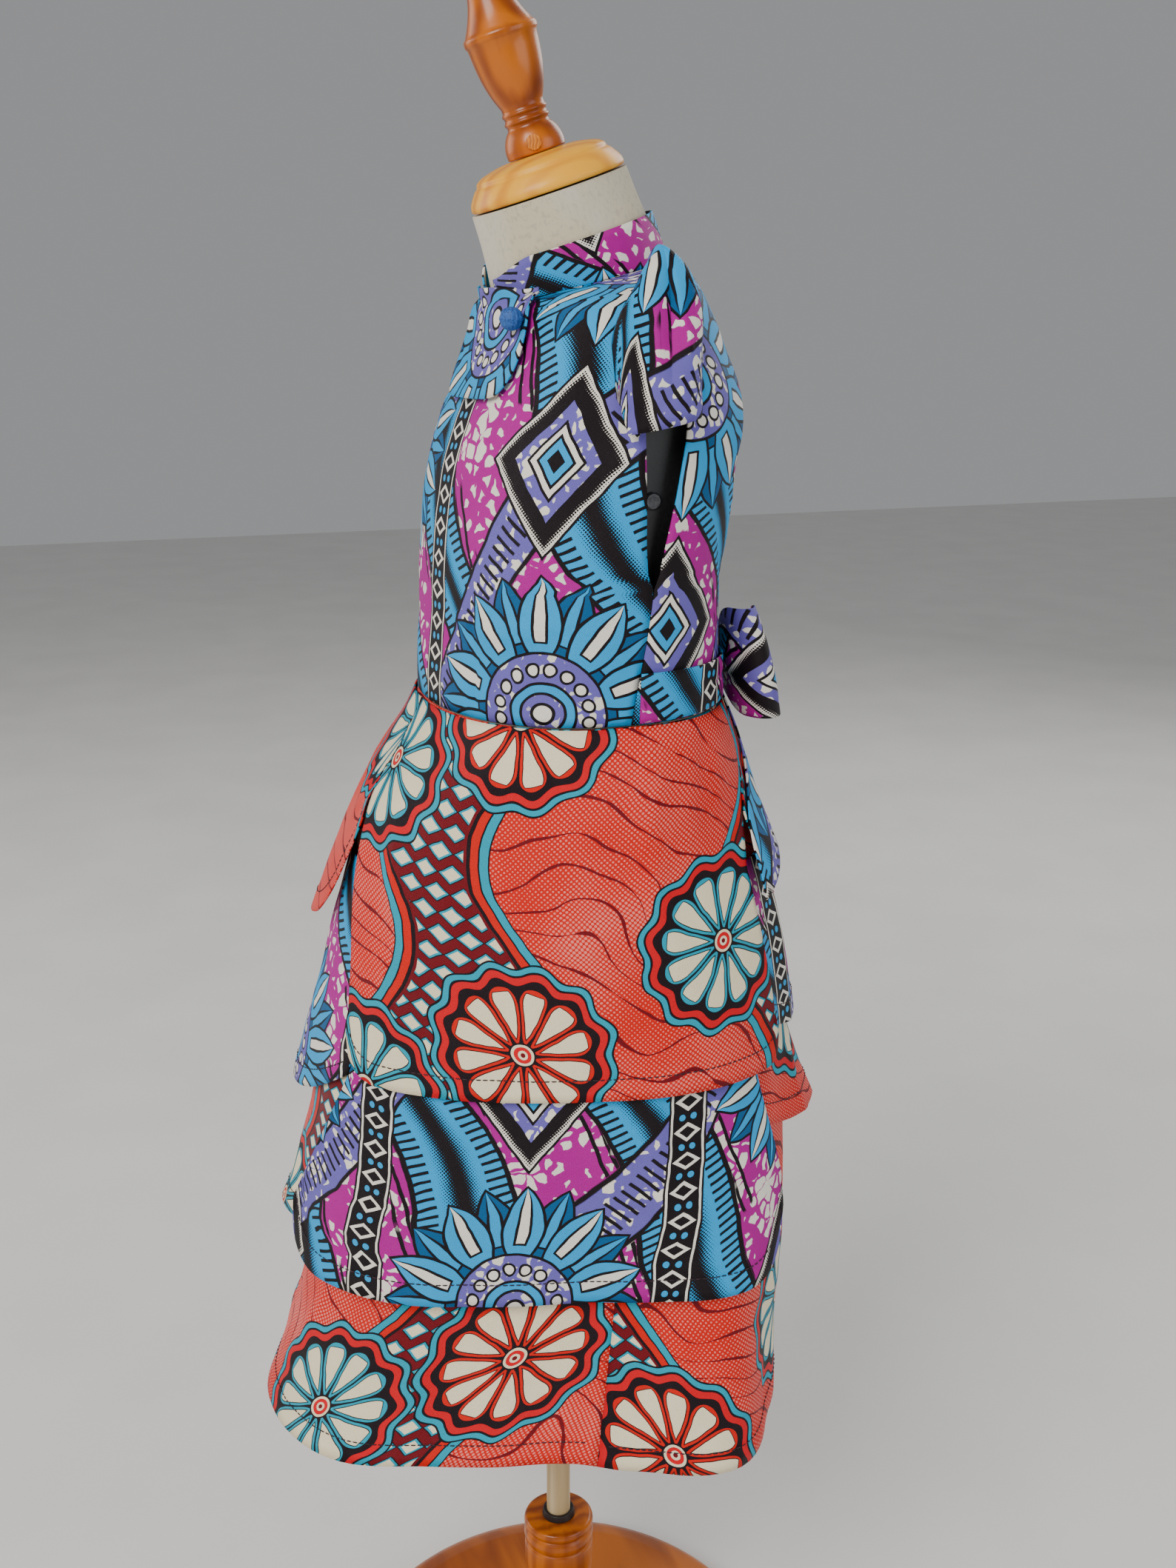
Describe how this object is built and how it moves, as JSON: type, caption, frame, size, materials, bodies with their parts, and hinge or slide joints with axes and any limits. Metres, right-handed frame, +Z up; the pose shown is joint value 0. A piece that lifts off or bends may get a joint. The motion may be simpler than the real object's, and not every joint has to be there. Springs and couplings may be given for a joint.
{
  "type": "child's ankara wax print dress on a limbless dress form with a stand",
  "caption": "Child's dress with cap sleeves, stand collar, tiered petal skirt and back bow in two wax prints, worn by a limbless dress form on a turned wooden stand.",
  "frame": {"origin": "on the floor, under the pole's axis, at the middle of the round base", "axes": "+Z up along the pole, -Y to the dress's front, +X to the wearer's left"},
  "size_m": [0.2893, 0.3084, 0.9923],
  "materials": {
    "print_a": "crisp waxed cotton, blue, lilac, magenta and black print",
    "print_b": "crisp waxed cotton, coral, turquoise and dark red print",
    "button_cloth": "blue knotted ball button",
    "neck_cloth": "pale linen cover",
    "arm_plate": "black, satin",
    "arm_screw": "dark grey",
    "pine": "lacquered pine",
    "varnished_wood": "golden varnish",
    "pale_wood": "pale, unvarnished",
    "ferrule": "dark ring"
  },
  "bodies": {
    "root": {"bodice_front": "print_a", "bodice_back": "print_a", "collar": "print_a", "front_flap": "print_a", "sleeve_left": "print_a", "sleeve_right": "print_a", "sash_left": "print_a", "sash_right": "print_a", "bow_knot": "print_a", "bow_loop_left": "print_a", "bow_loop_right": "print_a", "bow_tail_left": "print_a", "bow_tail_right": "print_a", "tier2_left": "print_a", "tier2_right": "print_a", "tier2_front": "print_a", "tier2_back": "print_a", "skirt_base_front": "print_b", "skirt_base_back": "print_b", "tier1_left": "print_b", "tier1_right": "print_b", "tier1_front": "print_b", "tier1_back": "print_b", "tier3_front": "print_b", "tier3_back": "print_b", "form_torso": "neck_cloth", "arm_plate_left": "arm_plate", "arm_plate_right": "arm_plate", "arm_screw_left": "arm_screw", "arm_screw_right": "arm_screw", "neck_cap": "pine", "neck_finial": "varnished_wood", "stand_pole": "pale_wood", "stand_ferrule": "ferrule", "stand_column": "varnished_wood", "stand_base": "varnished_wood", "ball_button": "button_cloth"}
  },
  "joints": []
}
